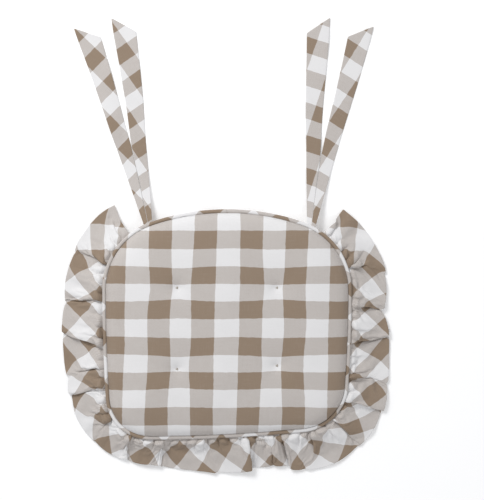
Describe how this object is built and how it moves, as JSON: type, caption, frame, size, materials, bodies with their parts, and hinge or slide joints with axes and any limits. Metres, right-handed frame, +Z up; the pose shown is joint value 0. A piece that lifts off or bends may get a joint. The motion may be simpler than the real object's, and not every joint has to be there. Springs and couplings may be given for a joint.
{
  "type": "seat cushion",
  "caption": "Tufted chair seat pad with piping, a gathered ruffle round its sides and front, and pairs of fabric ties at its back corners.",
  "frame": {"origin": "middle of the pad's flat underside, on the surface that it lies on", "axes": "+X to the right as seen from the front, +Y to the chair's back, where the ties are, +Z up through the pad"},
  "size_m": [0.542, 0.7521, 0.046],
  "materials": {
    "cover_gingham": "plain-woven cotton with large taupe and white checks, matte",
    "piping_gingham": "bias-cut checked cotton wrapped round a cord, matte",
    "ruffle_gingham": "bias-cut checked cotton, doubled and gathered, matte",
    "tie_gingham": "checked cotton, turned and pressed, matte",
    "fibre": "polyester fibre wadding, lofty and matte",
    "cotton_cord": "twisted cotton cord, matte",
    "thread": "twisted polyester thread, slight sheen"
  },
  "bodies": {
    "cushion": {"top_cover": "cover_gingham", "bottom_cover": "cover_gingham", "fibre_fill": "fibre", "piping_cover": "piping_gingham", "piping_cord": "cotton_cord", "ruffle_left": "ruffle_gingham", "ruffle_right": "ruffle_gingham", "tuft_stitch_back_left": "thread", "tuft_stitch_back_right": "thread", "tuft_stitch_front_left": "thread", "tuft_stitch_front_right": "thread"},
    "left_outer_tie": {"tie_left_outer": "tie_gingham"},
    "left_inner_tie": {"tie_left_inner": "tie_gingham"},
    "right_inner_tie": {"tie_right_inner": "tie_gingham"},
    "right_outer_tie": {"tie_right_outer": "tie_gingham"}
  },
  "joints": [
    {"name": "left_outer_tie_swing", "type": "hinge", "parent": "cushion", "child": "left_outer_tie", "pos_m": [-0.13328, 0.16407, 0.0194], "axis": [0.9336, 0.3584, 0], "range_deg": [-86, 105]},
    {"name": "left_inner_tie_swing", "type": "hinge", "parent": "cushion", "child": "left_inner_tie", "pos_m": [-0.12544, 0.16708, 0.0194], "axis": [0.9336, 0.3584, 0], "range_deg": [-86, 105]},
    {"name": "right_inner_tie_swing", "type": "hinge", "parent": "cushion", "child": "right_inner_tie", "pos_m": [0.12544, 0.16708, 0.0194], "axis": [0.9336, -0.3584, 0], "range_deg": [-86, 105]},
    {"name": "right_outer_tie_swing", "type": "hinge", "parent": "cushion", "child": "right_outer_tie", "pos_m": [0.13328, 0.16407, 0.0194], "axis": [0.9336, -0.3584, 0], "range_deg": [-86, 105]}
  ]
}
